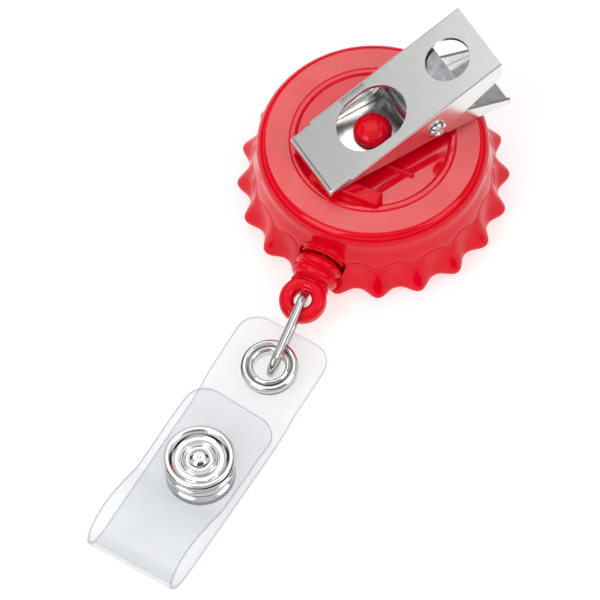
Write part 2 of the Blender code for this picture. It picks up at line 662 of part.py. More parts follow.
def build():
    clear_objects()
    make_front_shell()
    make_back_shell()
    make_cord_nozzle()
    make_swivel_post()
    make_cord_run()

    hang(pivot("spool_axis", 0, 0, 0), make_spool(), make_cord_winding(), make_power_spring())
    hang(pivot("cord_pull_axis", *fitting_point(0.0)), make_cord_end_fitting())
    hang(pivot("link_axis", *fitting_point(EYE_L + EYE_RING_R)), make_wire_link())

    strap_pivot = pivot("strap_axis", LINK_B[0], LINK_B[1], LINK_B[2], STRAP_AZIMUTH)
    fold_place = STRAP @ Vector((FOLD_U * MM, 0.0, FOLD_Z * MM))
    fold_pivot = pivot("strap_fold_axis", *(fold_place / MM), STRAP_AZIMUTH)
    back, front = make_strap()
    snap_cap, snap_socket, snap_stud, snap_base = make_snap()
    hang(strap_pivot, back, *make_eyelet(), snap_stud, snap_base)
    hang(fold_pivot, front, snap_cap, snap_socket)

    clip_pivot = pivot("clip_swivel_axis", 0, 0, 0, CLIP_AZIMUTH)
    pin_place = CLIP @ Vector((PIN_S * MM, CLIP_W * MM, PIN_Z * MM))
    jaw_pivot = pivot("clip_pin_axis", *(pin_place / MM), CLIP_AZIMUTH)
    hang(clip_pivot, make_lower_jaw(), make_pivot_pin(), make_clip_spring())
    hang(jaw_pivot, make_upper_jaw())


build()
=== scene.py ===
"""Looks of the retractable badge reel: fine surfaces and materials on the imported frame.

Lengths are in millimetres in the frame's own axes, unless a name says otherwise; meshes are
made in metres. The fine pieces take the place of the frame's plain solids, apart from the spool,
the wound cord and the power spring, which are hidden in the case and get new materials only.
"""

import json
import math

import bmesh
import bpy
from mathutils import Matrix, Vector


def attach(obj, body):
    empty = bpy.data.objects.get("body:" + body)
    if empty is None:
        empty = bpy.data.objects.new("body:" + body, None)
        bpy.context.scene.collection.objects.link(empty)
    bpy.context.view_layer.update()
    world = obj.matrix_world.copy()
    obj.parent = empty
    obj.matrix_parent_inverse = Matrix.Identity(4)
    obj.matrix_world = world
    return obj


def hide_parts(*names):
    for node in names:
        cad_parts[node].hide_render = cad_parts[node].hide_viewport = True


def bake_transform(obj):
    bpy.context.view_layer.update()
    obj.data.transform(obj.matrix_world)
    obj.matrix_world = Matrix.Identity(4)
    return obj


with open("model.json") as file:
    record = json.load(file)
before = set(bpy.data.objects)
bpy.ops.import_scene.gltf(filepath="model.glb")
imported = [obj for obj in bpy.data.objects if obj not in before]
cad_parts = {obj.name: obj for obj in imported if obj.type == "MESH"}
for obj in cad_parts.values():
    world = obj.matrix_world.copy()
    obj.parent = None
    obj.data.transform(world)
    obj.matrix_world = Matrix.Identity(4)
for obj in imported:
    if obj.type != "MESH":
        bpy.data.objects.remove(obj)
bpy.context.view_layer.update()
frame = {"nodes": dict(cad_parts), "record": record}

MM = 0.001
WORLD = Matrix.Identity(4)
JOINTS = {joint["name"]: joint for joint in frame["record"]["behaviour"]["joints"]}


def joint_place(name):
    """A joint's place in millimetres."""
    return Vector(JOINTS[name]["pos_m"]) / MM


def frame_at(x, y, z, azimuth=0.0):
    """A local frame at a place in millimetres, turned about the vertical."""
    return Matrix.Translation(Vector((x, y, z)) * MM) @ Matrix.Rotation(azimuth, 4, "Z")


# ---------------------------------------------------------------- sizes shared with the frame

TOOTH_COUNT = 20
TOOTH_PHASE = math.radians(9.0)
TIP_R, VALLEY_R = 17.7, 16.3
TIP_Z = 2.0
FRONT_FACE_R = 14.0
PARTING_R, PARTING_Z, PARTING_WAVE, PARTING_GAP = 15.4, 6.1, 0.5, 0.1
BACK_Z, RIM_R = 11.8, 15.0
CAVITY_R, FLOOR_Z, CEILING_Z = 13.9, 1.3, 10.3
RING_R = 10.3
HUB_R, HUB_TOP_Z = 2.0, 9.6
BAR_X, BAR_Y0, BAR_Y1, BAR_TOP_Z = 4.8, -9.1, -7.1, 12.9
RIB_X, RIB_Y, RIB_WIDTH, RIB_TOP_Z = 7.0, -2.7, 0.6, 12.15
EXIT_Z = 5.4
PORT_R, NOZZLE_R, NOZZLE_MOUTH_Y, NOZZLE_BORE_R = 3.21, 3.2, -15.3, 1.0
CORD_R = 0.4
POST_NECK_R, POST_HEAD_R, POST_HEAD_Z, POST_TOP_Z = 1.55, 2.5, 13.85, 15.45

DROOP = math.radians(12.5)
FITTING_RIBS, RIB_ROOT_R = ((0.52, 1.25, 3.08), (1.77, 1.5, 3.13)), 2.3
NECK_L, NECK_HALF, NECK_REACH = 4.0, 2.5, 1.3
EYE_L, EYE_RING_R, EYE_SECTION_R, EYE_HALF_HEIGHT = 6.04, 2.1, 0.98, 1.23
LINK_WIRE_R, LINK_HALF_WIDTH, LINK_TWIST = 0.53, 1.85, math.radians(-7.0)
LINK_A, LINK_B = (0.03, -20.6, 4.35), tuple(joint_place("strap_swing"))

STRAP_AZIMUTH = math.radians(-95.9)
STRAP = frame_at(-0.26, -30.85, 0.0, STRAP_AZIMUTH)
STRAP_HALF, STRAP_TAPER, STRAP_THICK, STRAP_CORNER_R = 6.45, 0.0095, 0.5, 3.0
STRAP_PATH = [(-5.75, 2.48), (-3.9, 2.4), (0.0, 2.1), (3.9, 1.8), (5.2, 1.45), (6.6, 1.0), (8.2, 0.68),
              (10.0, 0.57), (26.5, 0.57), (28.6, 0.58), (30.0, 0.72), (31.0, 0.98), (31.7, 1.36),
              (32.4, 2.4), (32.7, 3.3), (32.6, 4.3), (32.1, 5.3), (31.2, 6.0), (29.8, 6.5),
              (28.0, 6.55), (26.0, 6.15), (24.0, 5.35), (22.4, 4.6), (21.0, 4.05), (19.0, 3.95),
              (16.4, 3.95), (13.0, 3.94), (11.5, 3.86), (10.0, 3.67), (6.95, 3.25)]
FLAP_SKEW, FLAP_SKEW_LENGTH = 0.06, 8.0
STEPS_ACROSS, STEPS_ROUND_EDGE = 12, 4
EYELET_V, EYELET_Z, EYELET_TILT, EYELET_R, EYELET_HOLE_R = 0.15, 2.1, 0.075, 3.7, 2.02
SNAP_U, SNAP_R = 16.4, 4.55

CLIP_AZIMUTH = math.radians(57.7)
CLIP = Matrix.Rotation(CLIP_AZIMUTH, 4, "Z")
CLIP_W = -0.3
TIP_S, THUMB_S = -9.62, 16.02
PLATE_TIP_Z, PLATE_THUMB_Z, PLATE_THICK = 14.40, 23.22, 0.45
PLATE_SLOPE = (PLATE_THUMB_Z - PLATE_TIP_Z) / (THUMB_S - TIP_S)
PLATE_HALF, TIP_HALF, LOWER_HALF, SHEET = 5.1, 4.8, 4.6, 0.4
PIN_S, PIN_Z, PIN_R, PIN_HOLE_R = 6.3, 16.3, 0.6, 0.68
CLIP_SPRING_R, CLIP_SPRING_HALF, CLIP_SPRING_THICK = 2.7, 3.7, 0.32

# Local frames: the cord's way out, the jaws' pin, the snap and the eyelet.
EXIT = frame_at(0, 0, EXIT_Z) @ Matrix.Rotation(math.radians(90.0), 4, "X")
PIN = CLIP @ frame_at(PIN_S, CLIP_W, PIN_Z) @ Matrix.Rotation(math.radians(-90.0), 4, "X")
SNAP = STRAP @ frame_at(SNAP_U, 0.0, 0.0)
EYELET = STRAP @ frame_at(0.0, EYELET_V, EYELET_Z) @ Matrix.Rotation(EYELET_TILT, 4, "Y")

CAMERA_PLACE, CAMERA_AIM = (124.041, -255.748, 486.253), (-1.402, -19.326, 0.0)
CAMERA_ROLL, CAMERA_LENS, CAMERA_SENSOR = math.radians(-2.79), 259.164, 36.0
LIGHT_TARGET = (0.0, -15.0, 5.0)
TABLE_HALF, TABLE_Z = 6000.0, -0.02


# ---------------------------------------------------------------- materials

def new_material(name, colour, roughness, metallic=0.0):
    """A plain material, with its node tree and its shader for further work."""
    material = bpy.data.materials.new(name)
    material.use_nodes = True
    shader = material.node_tree.nodes["Principled BSDF"]
    shader.inputs["Base Color"].default_value = (*colour, 1.0)
    shader.inputs["Roughness"].default_value = roughness
    shader.inputs["Metallic"].default_value = metallic
    return material, material.node_tree, shader


def noise(tree, scale, detail=3.0, stretch=None):
    """A noise texture on object coordinates; scale is in features per metre."""
    where = tree.nodes.new("ShaderNodeTexCoord")
    mapping = tree.nodes.new("ShaderNodeMapping")
    if stretch:
        mapping.inputs["Rotation"].default_value = (0.0, 0.0, stretch[0])
        mapping.inputs["Scale"].default_value = stretch[1]
    texture = tree.nodes.new("ShaderNodeTexNoise")
    texture.inputs["Scale"].default_value = scale
    texture.inputs["Detail"].default_value = detail
    tree.links.new(where.outputs["Object"], mapping.inputs["Vector"])
    tree.links.new(mapping.outputs["Vector"], texture.inputs["Vector"])
    return texture.outputs["Fac"]


def ranged(tree, value, low, high):
    """Map a 0.3 to 0.7 noise value onto a range."""
    node = tree.nodes.new("ShaderNodeMapRange")
    node.inputs["From Min"].default_value = 0.3
    node.inputs["From Max"].default_value = 0.7
    node.inputs["To Min"].default_value = low
    node.inputs["To Max"].default_value = high
    tree.links.new(value, node.inputs["Value"])
    return node.outputs["Result"]


def bump(tree, shader, value, depth_mm, strength):
    """Raise the surface by a value, for unevenness too fine to model."""
    node = tree.nodes.new("ShaderNodeBump")
    node.inputs["Distance"].default_value = depth_mm * MM
    node.inputs["Strength"].default_value = strength
    tree.links.new(value, node.inputs["Height"])
    tree.links.new(node.outputs["Normal"], shader.inputs["Normal"])


def tint(tree, shader, value, first, second):
    """Let a value vary the colour between two close tones."""
    ramp = tree.nodes.new("ShaderNodeValToRGB")
    ramp.color_ramp.elements[0].position = 0.35
    ramp.color_ramp.elements[0].color = (*first, 1.0)
    ramp.color_ramp.elements[1].position = 0.65
    ramp.color_ramp.elements[1].color = (*second, 1.0)
    tree.links.new(value, ramp.inputs["Fac"])
    tree.links.new(ramp.outputs["Color"], shader.inputs["Base Color"])


def red_plastic(name, roughness=0.1, sheen=0.26, mottle=(120.0, 2.0), dark=(0.80, 0.0, 0.012),
                pale=(0.88, 0.001, 0.019)):
    """Moulded plastic: deep red with faint flow unevenness and a slightly wavy skin."""
    material, tree, shader = new_material(name, pale, roughness)
    tint(tree, shader, noise(tree, *mottle), dark, pale)
    tree.links.new(ranged(tree, noise(tree, 900.0), roughness - 0.03, roughness + 0.05),
                   shader.inputs["Roughness"])
    bump(tree, shader, noise(tree, 260.0, 2.0), 0.02, 0.3)
    shader.inputs["IOR"].default_value = 1.45
    shader.inputs["Specular IOR Level"].default_value = sheen
    return material


def nickel(name, roughness, tone, azimuth=None):
    """Bright nickel plate; an azimuth adds the fine grain of rolled sheet along it."""
    material, tree, shader = new_material(name, (tone, tone, tone * 0.985), roughness, 1.0)
    if azimuth is None:
        grain = noise(tree, 3000.0)
        depth = 0.002
    else:
        grain = noise(tree, 5000.0, 3.0, (-azimuth, (0.08, 1.0, 1.0)))
        depth = 0.0006
    tint(tree, shader, noise(tree, 400.0), (tone * 0.98,) * 3, (tone * 1.02, tone * 1.02, tone * 1.01))
    tree.links.new(ranged(tree, grain, roughness - 0.03, roughness + 0.04), shader.inputs["Roughness"])
    bump(tree, shader, grain, depth, 0.25)
    return material


def spring_steel(name):
    """Dark tempered strip with a rolled grain."""
    material, tree, shader = new_material(name, (0.34, 0.35, 0.37), 0.28, 1.0)
    grain = noise(tree, 2500.0, 4.0, (-CLIP_AZIMUTH, (1.0, 0.08, 1.0)))
    tint(tree, shader, noise(tree, 700.0), (0.28, 0.29, 0.31), (0.40, 0.41, 0.43))
    tree.links.new(ranged(tree, grain, 0.2, 0.4), shader.inputs["Roughness"])
    bump(tree, shader, grain, 0.003, 0.5)
    return material


def clear_vinyl(name, colour, faced, grazed, roughness):
    """Clear soft vinyl: nearly clear face on, milky blue where it is seen along its surface."""
    material, tree, shader = new_material(name, colour, roughness)
    weight = tree.nodes.new("ShaderNodeLayerWeight")
    weight.inputs["Blend"].default_value = 0.35
    alpha = tree.nodes.new("ShaderNodeMapRange")
    alpha.inputs["To Min"].default_value = faced
    alpha.inputs["To Max"].default_value = grazed
    tree.links.new(weight.outputs["Facing"], alpha.inputs["Value"])
    tree.links.new(alpha.outputs["Result"], shader.inputs["Alpha"])
    tint(tree, shader, noise(tree, 150.0, 2.0), tuple(c * 0.97 for c in colour), colour)
    tree.links.new(ranged(tree, noise(tree, 700.0), roughness - 0.05, roughness + 0.06),
                   shader.inputs["Roughness"])
    bump(tree, shader, noise(tree, 180.0, 2.0), 0.03, 0.25)
    shader.inputs["IOR"].default_value = 1.53
    return material


def nylon_cord(name):
    """White braid: a fine helical weave in bump and shade."""
    material, tree, shader = new_material(name, (0.78, 0.77, 0.74), 0.7)
    where = tree.nodes.new("ShaderNodeTexCoord")
    wave = tree.nodes.new("ShaderNodeTexWave")
    wave.bands_direction = "DIAGONAL"
    wave.inputs["Scale"].default_value = 900.0
    wave.inputs["Distortion"].default_value = 1.5
    tree.links.new(where.outputs["Object"], wave.inputs["Vector"])
    tint(tree, shader, wave.outputs["Fac"], (0.66, 0.65, 0.62), (0.82, 0.81, 0.79))
    bump(tree, shader, wave.outputs["Fac"], 0.05, 0.6)
    shader.inputs["Sheen Weight"].default_value = 0.3
    return material


def white_acetal(name):
    """Plain white bearing plastic with a faintly matt skin."""
    material, tree, shader = new_material(name, (0.80, 0.80, 0.77), 0.42)
    tint(tree, shader, noise(tree, 300.0), (0.77, 0.77, 0.74), (0.82, 0.82, 0.80))
    tree.links.new(ranged(tree, noise(tree, 1500.0), 0.36, 0.5), shader.inputs["Roughness"])
    bump(tree, shader, noise(tree, 2500.0), 0.01, 0.4)
    return material


RED = red_plastic("red_plastic")
# The flat ring's finish is partly real: a rougher, frosted skin. Its pale pink base colour is a painted
# sheen that stands in for hazy reflected light.
RED_PAINTED_SHEEN = red_plastic("red_plastic_painted_sheen", 0.22, mottle=(220.0, 5.0), dark=(0.85, 0.12, 0.125),
                          pale=(0.89, 0.15, 0.155))
RED_POLISHED = red_plastic("red_plastic_polished", 0.05, sheen=0.9)
NICKEL_PLATE = nickel("nickel_sheet", 0.22, 0.80, CLIP_AZIMUTH)
NICKEL_TURNED = nickel("nickel_turned", 0.11, 0.72)
NICKEL_WIRE = nickel("nickel_wire", 0.16, 0.6)
SPRING_STEEL = spring_steel("spring_steel")
VINYL = clear_vinyl("clear_vinyl", (0.64, 0.68, 0.73), 0.12, 0.42, 0.12)
# The strap's edges and ends use a darker, more opaque copy of the same clear vinyl: painted shade for how a
# clear sheet's cut edge reads dark.
VINYL_EDGE_SHADE = clear_vinyl("clear_vinyl_painted_edge_shade", (0.36, 0.41, 0.45), 0.4, 0.7, 0.2)
CORD = nylon_cord("nylon_cord")
ACETAL = white_acetal("white_acetal")


# ---------------------------------------------------------------- mesh tools

def finish_mesh(bm, name, material, place, smooth_deg=35.0):
    """A bmesh in millimetres becomes a named object in metres with its origin at zero."""
    bmesh.ops.scale(bm, vec=(MM, MM, MM), verts=bm.verts)
    bmesh.ops.transform(bm, matrix=place, verts=bm.verts)
    bmesh.ops.recalc_face_normals(bm, faces=bm.faces)
    mesh = bpy.data.meshes.new(name)
    bm.to_mesh(mesh)
    bm.free()
    mesh.shade_smooth()
    mesh.set_sharp_from_angle(angle=math.radians(smooth_deg))
    obj = bpy.data.objects.new(name, mesh)
    bpy.context.scene.collection.objects.link(obj)
    if material:
        mesh.materials.append(material)
    return obj


def lofted(name, rings, material, place=WORLD, close=False, smooth_deg=35.0):
    """A skin over closed rings of points; the ends are filled, or joined when it closes on itself."""
    bm = bmesh.new()
    rows = [[bm.verts.new(point) for point in ring] for ring in rings]
    pairs = list(zip(rows, rows[1:]))
    if close:
        pairs.append((rows[-1], rows[0]))
    for low, high in pairs:
        for i in range(len(low)):
            j = (i + 1) % len(low)
            bm.faces.new((low[i], low[j], high[j], high[i]))
    if not close:
        bm.faces.new(rows[0])
        bm.faces.new(rows[-1])
    return finish_mesh(bm, name, material, place, smooth_deg)


def turned(name, outline, material, place=WORLD, steps=96, smooth_deg=35.0):
    """Solid of revolution; an outline that starts on the axis also ends on it."""
    bm = bmesh.new()
    verts = [bm.verts.new((radius, 0.0, height)) for radius, height in outline]
    pairs = list(zip(verts, verts[1:]))
    if outline[0][0] > 0.0:
        pairs.append((verts[-1], verts[0]))
    edges = [bm.edges.new(pair) for pair in pairs]
    bmesh.ops.spin(bm, geom=verts + edges, cent=(0, 0, 0), axis=(0, 0, 1),
                   angle=2.0 * math.pi, steps=steps, use_merge=True)
    bmesh.ops.remove_doubles(bm, verts=bm.verts, dist=1e-5)
    return finish_mesh(bm, name, material, place, smooth_deg)


def rounded(corners, steps=4):
    """Round off each (r, z, radius) corner of an outline; a radius of 0 stays sharp."""
    outline = []
    for i, (x, z, radius) in enumerate(corners):
        here = Vector((x, z))
        if radius <= 0.0:
            outline.append((x, z))
            continue
        before = Vector(corners[i - 1][:2]) - here
        after = Vector(corners[(i + 1) % len(corners)][:2]) - here
        reach = min(radius / math.tan(before.angle(after) / 2), before.length * 0.49, after.length * 0.49)
        first, last = here + before.normalized() * reach, here + after.normalized() * reach
        for k in range(steps + 1):
            t = k / steps
            point = first * (1 - t) ** 2 + here * 2 * t * (1 - t) + last * t ** 2
            outline.append((point.x, point.y))
    return outline


def smooth_path(points, count):
    """Points read evenly from a Catmull-Rom curve through the given ones."""
    ends = [2 * points[0] - points[1]] + points + [2 * points[-1] - points[-2]]
    path = []
    for k in range(count):
        place = k * (len(points) - 1) / (count - 1)
        i = min(int(place), len(points) - 2)
        t = place - i
        a, b, c, d = ends[i:i + 4]
        path.append(0.5 * (2 * b + (c - a) * t + (2 * a - 5 * b + 4 * c - d) * t ** 2
                           + (3 * b - a - 3 * c + d) * t ** 3))
    return path


def even_path(points, spacing):
    """The same smooth curve read at an even spacing, with its length."""
    dense = smooth_path(points, len(points) * 40)
    length = [0.0]
    for a, b in zip(dense, dense[1:]):
        length.append(length[-1] + (b - a).length)
    count = int(round(length[-1] / spacing))
    path, j = [], 0
    for k in range(count + 1):
        goal = length[-1] * k / count
        while j < len(length) - 2 and length[j + 1] < goal:
            j += 1
        t = (goal - length[j]) / max(length[j + 1] - length[j], 1e-9)
        path.append(dense[j].lerp(dense[j + 1], min(max(t, 0.0), 1.0)))
    return path, length[-1]


def read_table(table, s):
    """Read a value from (s, value) pairs, straight between them."""
    for (s0, a), (s1, b) in zip(table, table[1:]):
        if s <= s1:
            t = max(0.0, s - s0) / (s1 - s0)
            return a + (b - a) * t
    return table[-1][1]


def bake(obj, *tools):
    """Apply an object's modifiers for good and delete the tools they used."""
    depsgraph = bpy.context.evaluated_depsgraph_get()
    mesh = bpy.data.meshes.new_from_object(obj.evaluated_get(depsgraph))
    obj.modifiers.clear()
    obj.data = mesh
    for tool in tools:
        bpy.data.objects.remove(tool, do_unlink=True)


def boolean(obj, tool, operation="DIFFERENCE"):
    modifier = obj.modifiers.new(tool.name, "BOOLEAN")
    modifier.operation = operation
    modifier.object = tool
    modifier.solver = "EXACT"


def soften(obj, width_mm, segments, angle_deg):
    """Round the edges sharper than an angle."""
    modifier = obj.modifiers.new("edges", "BEVEL")
    modifier.width = width_mm * MM
    modifier.segments = segments
    modifier.limit_method = "ANGLE"
    modifier.angle_limit = math.radians(angle_deg)


def cut_away(obj, tools):
    """Take the tools' volumes off an object, with crisp edges along the cuts."""
    for tool in tools:
        boolean(obj, tool)
    bake(obj, *tools)
    obj.data.shade_smooth()
    obj.data.set_sharp_from_angle(angle=math.radians(32.0))


def level_shading(obj):
    """Let the large flat faces decide the shading beside narrow bends."""
    modifier = obj.modifiers.new("level", "WEIGHTED_NORMAL")
    modifier.weight = 100
    modifier.keep_sharp = True
    bake(obj)


def rod(name, radius, low, high, place=WORLD, steps=64):
    return turned(name, [(0.0, low), (radius, low), (radius, high), (0.0, high)], None, place, steps)


def prism(name, outline, low, high, place=WORLD):
    return lofted(name, [[(x, y, z) for x, y in outline] for z in (low, high)], None, place)


def swept(name, points, radius, material, sides, cyclic=False):
    """A round wire along points, with its rings turned as little as possible."""
    count = len(points)
    rings, side = [], None
    for i, point in enumerate(points):
        if cyclic:
            ahead = (points[(i + 1) % count] - points[i - 1]).normalized()
        else:
            ahead = (points[min(i + 1, count - 1)] - points[max(i - 1, 0)]).normalized()
        if side is None:
            side = ahead.orthogonal().normalized()
        side = (side - ahead * side.dot(ahead)).normalized()
        up = ahead.cross(side)
        rings.append([point + radius * (math.cos(a) * side + math.sin(a) * up)
                      for a in (2 * math.pi * k / sides for k in range(sides))])
    if cyclic:
        # A loop's rings turn on evenly by whole steps, and the last is renumbered to meet the first.
        shift = min(range(sides), key=lambda k: (rings[0][k] - rings[-1][0]).length)
        for i, centre in enumerate(points):
            axis = (points[(i + 1) % count] - points[i - 1]).normalized()
            spin = Matrix.Rotation(2 * math.pi * shift / sides * i / count, 3, axis)
            rings[i] = [centre + spin @ (point - centre) for point in rings[i]]
        gap = min(range(sides), key=lambda k: (rings[0][k] - rings[-1][0]).length)
        rings[-1] = rings[-1][-gap:] + rings[-1][:-gap]
    return lofted(name, rings, material, WORLD, close=cyclic, smooth_deg=60.0)


def piece(obj, body, node, *others):
    """The fine piece rides on a body and stands for its nodes, which it hides."""
    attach(obj, body)
    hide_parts(node, *others)
    return obj


# ---------------------------------------------------------------- case

def tooth_wave(angle):
    """How far out the crown's rim is: 0 in a valley, 1 at a tooth."""
    return (0.5 + 0.5 * math.cos(TOOTH_COUNT * (angle - TOOTH_PHASE))) ** 1.25


def fine_levels(levels, count):
    """Read (valley r, tooth r, valley z, tooth z) levels from a smooth curve through them."""
    return [tuple(p) for p in smooth_path([Vector(level) for level in levels], count)]


def shell_rings(levels, steps_per_tooth=14):
    """One ring of points for each level, waving between its valley and its tooth values."""
    count = TOOTH_COUNT * steps_per_tooth
    rings = []
    for valley_r, tooth_r, valley_z, tooth_z in levels:
        ring = []
        for k in range(count):
            angle = TOOTH_PHASE + 2.0 * math.pi * k / count
            wave = tooth_wave(angle)
            radius = valley_r + (tooth_r - valley_r) * wave
            height = valley_z + (tooth_z - valley_z) * wave
            ring.append((radius * math.cos(angle), radius * math.sin(angle), height))
        rings.append(ring)
    return rings


def plain(radius, height):
    """A level without teeth."""
    return (radius, radius, height, height)


def port(name):
    """The cutter for the cord's way out of the case."""
    return rod(name, PORT_R, 12.6, 19.0, EXIT)


def make_front_shell():
    """The toothed front half, with its hub and the slot that holds the power spring's inner end."""
    low_z, high_z = PARTING_Z - PARTING_WAVE, PARTING_Z + PARTING_WAVE
    outer = fine_levels([
        plain(FRONT_FACE_R, 0.0),
        plain(FRONT_FACE_R + 0.8, 0.25),
        (VALLEY_R - 0.55, TIP_R - 1.2, 0.9, 0.8),
        (VALLEY_R - 0.1, TIP_R - 0.25, 1.45, 1.35),
        (VALLEY_R, TIP_R, TIP_Z, TIP_Z),
        (VALLEY_R - 0.15, TIP_R - 0.25, 2.7, 2.6),
        (VALLEY_R - 0.5, TIP_R - 1.2, 4.1, 3.9),
        (PARTING_R + 0.1, PARTING_R + 0.25, high_z - 0.35, low_z - 0.35),
        (PARTING_R, PARTING_R + 0.15, high_z, low_z),
    ], 36)
    inner = [(CAVITY_R + 0.2, CAVITY_R + 0.2, high_z, low_z), plain(CAVITY_R, FLOOR_Z + 0.6),
             plain(CAVITY_R - 0.6, FLOOR_Z), plain(HUB_R, FLOOR_Z), plain(HUB_R, HUB_TOP_Z)]
    shell = lofted("crown_front", shell_rings(outer + inner), RED, smooth_deg=50.0)
    slot = prism("cut_slot", [(-2.5, -0.2), (0.0, -0.2), (0.0, 0.2), (-2.5, 0.2)], 2.1, 10.0)
    cut_away(shell, [port("cut_port_front"), slot])
    piece(shell, "case", "front_shell")


def make_back_shell():
    """The domed back half, with its frosted flat ring in a painted pink sheen, its bead and its polished
    centre.
    """
    low_z = PARTING_Z - PARTING_WAVE + PARTING_GAP
    high_z = PARTING_Z + PARTING_WAVE + PARTING_GAP
    floor = BACK_Z - 0.12
    outer = [(PARTING_R - 0.05, PARTING_R + 0.1, high_z, low_z),
             (PARTING_R, PARTING_R + 0.12, high_z + 0.08, low_z + 0.08),
             (PARTING_R - 0.12, PARTING_R - 0.02, high_z + 0.9, low_z + 1.2), plain(RIM_R, 9.0)]
    rim = [plain(RIM_R - 1.6 + 1.6 * math.cos(a), BACK_Z - 1.9 + 1.9 * math.sin(a))
           for a in (math.radians(6.0 * k) for k in range(16))]
    bead = [plain(RING_R + 0.5 * math.cos(a), BACK_Z + 0.16 * math.sin(a))
            for a in (math.radians(20.0 * k) for k in range(9))]
    face = [plain(RING_R + 0.85, BACK_Z)] + bead + [plain(RING_R - 0.62, floor + 0.03),
                                                   plain(RING_R - 0.8, floor)]
    inside = [plain(POST_NECK_R + 0.3, floor), plain(POST_NECK_R + 0.14, floor - 0.15),
              plain(POST_NECK_R + 0.14, CEILING_Z),
              plain(CAVITY_R + 0.2, CEILING_Z), (CAVITY_R + 0.2, CAVITY_R + 0.2, high_z, low_z)]
    outer = fine_levels(outer, 12)
    shell = lofted("crown_back", shell_rings(outer + rim + face + inside), RED, close=True, smooth_deg=50.0)
    cut_away(shell, [port("cut_port_back")])
    sheen_slot, polished = 1, 2
    shell.data.materials.append(RED_PAINTED_SHEEN)
    shell.data.materials.append(RED_POLISHED)
    # Up-facing faces of the flat ring outside the bead take the painted pink sheen; those inside the bead
    # take the polished finish.
    for polygon in shell.data.polygons:
        centre = polygon.center / MM
        if polygon.normal.z > 0.98 and centre.z > BACK_Z - 0.2:
            polygon.material_index = sheen_slot if centre.xy.length > RING_R + 0.6 else polished
    piece(shell, "case", "back_shell")


def rounded_box(name, low, high, radius, material):
    """A box between two corners with all its edges rounded."""
    (x0, y0, z0), (x1, y1, z1) = low, high
    rings = [[(x0, y0, z), (x1, y0, z), (x1, y1, z), (x0, y1, z)] for z in (z0, z1)]
    obj = lofted(name, rings, material)
    soften(obj, radius, 4, 30.0)
    bake(obj)
    obj.data.shade_smooth()
    obj.data.set_sharp_from_angle(angle=math.radians(40.0))
    return obj


def make_case_details():
    """The swivel's stop bar and the thin rib, both moulded on the back shell."""
    bar = rounded_box("stop_bar", (-BAR_X, BAR_Y0, BACK_Z - 0.8), (BAR_X, BAR_Y1, BAR_TOP_Z), 0.3, RED)
    half = RIB_WIDTH / 2
    rib = rounded_box("thin_rib", (-RIB_X, RIB_Y - half, BACK_Z - 0.8),
                      (RIB_X, RIB_Y + half, RIB_TOP_Z), 0.22, RED)
    for obj in (bar, rib):
        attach(obj, "case")


def make_nozzle():
    """The two-lipped cord outlet; its free end leans over with the drooping fitting."""
    mouth = -NOZZLE_MOUTH_Y
    lean_start, lean_length = 14.1, 0.6
    outline = rounded([
        (NOZZLE_BORE_R, 13.3, 0.2), (NOZZLE_BORE_R + 0.5, 12.75, 0.2), (3.55, 12.75, 0.1),
        (3.55, 13.15, 0.1), (NOZZLE_R, 13.15, 0.0), (NOZZLE_R, mouth - 0.4, 0.25),
        (NOZZLE_R - 0.36, mouth - 0.36, 0.08), (NOZZLE_R - 0.3, mouth + 0.03, 0.18),
        (2.3, mouth, 0.1), (2.1, mouth - 0.15, 0.1), (NOZZLE_BORE_R, mouth - 0.2, 0.15)], 4)
    nozzle = turned("cord_outlet", outline, RED, EXIT)
    for vertex in nozzle.data.vertices:
        reach = min(max((-vertex.co.y / MM - lean_start) / lean_length, 0.0), 1.0)
        vertex.co.y -= (vertex.co.z - EXIT_Z * MM) * math.tan(DROOP) * reach
    piece(nozzle, "case", "cord_nozzle")


def make_post():
    """The stud that the clip turns on: a flat foot in the case, a neck and a domed head."""
    foot_r, foot_low, foot_high = 2.5, 9.75, 10.15
    brim = 0.2
    outline = [(0.0, foot_low), (foot_r, foot_low), (foot_r, foot_high), (POST_NECK_R, foot_high),
               (POST_NECK_R, POST_HEAD_Z), (POST_HEAD_R - 0.2, POST_HEAD_Z),
               (POST_HEAD_R - 0.05, POST_HEAD_Z + 0.06)]
    height = POST_TOP_Z - POST_HEAD_Z - brim
    for k in range(19):
        angle = math.radians(5.0 * k)
        outline.append((POST_HEAD_R * math.cos(angle), POST_HEAD_Z + brim + height * math.sin(angle)))
    outline[-1] = (0.0, POST_TOP_Z)
    piece(turned("swivel_stud", outline, RED), "case", "swivel_post")


# ---------------------------------------------------------------- cord, fitting and link

def fitting_point(length):
    """A point on the fitting's drooping axis, measured from the nozzle's mouth."""
    return (0.0, NOZZLE_MOUTH_Y - length * math.cos(DROOP), EXIT_Z - length * math.sin(DROOP))


def fitting_frame(length):
    """A local frame on the fitting's axis, leaning with it."""
    return frame_at(*fitting_point(length)) @ Matrix.Rotation(DROOP, 4, "X")


def make_cord_run():
    """The cord from the spool's rim through the outlet into the fitting."""
    route = [Vector((x, y, EXIT_Z)) for x, y in (
        (6.75, -9.95), (3.7, -11.5), (1.2, -12.5), (0.15, -13.5), (0.0, -14.2), (0.0, -14.9))]
    route += [Vector(fitting_point(length)) for length in (0.3, 1.2, 2.1)]
    cord = swept("pull_cord", smooth_path(route, 60), CORD_R, CORD, 14)
    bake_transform(cord)
    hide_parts("cord_run")


def squared(value):
    """Push a circle's coordinates outwards, towards a rounded square."""
    return math.copysign(abs(value) ** 0.8, value)


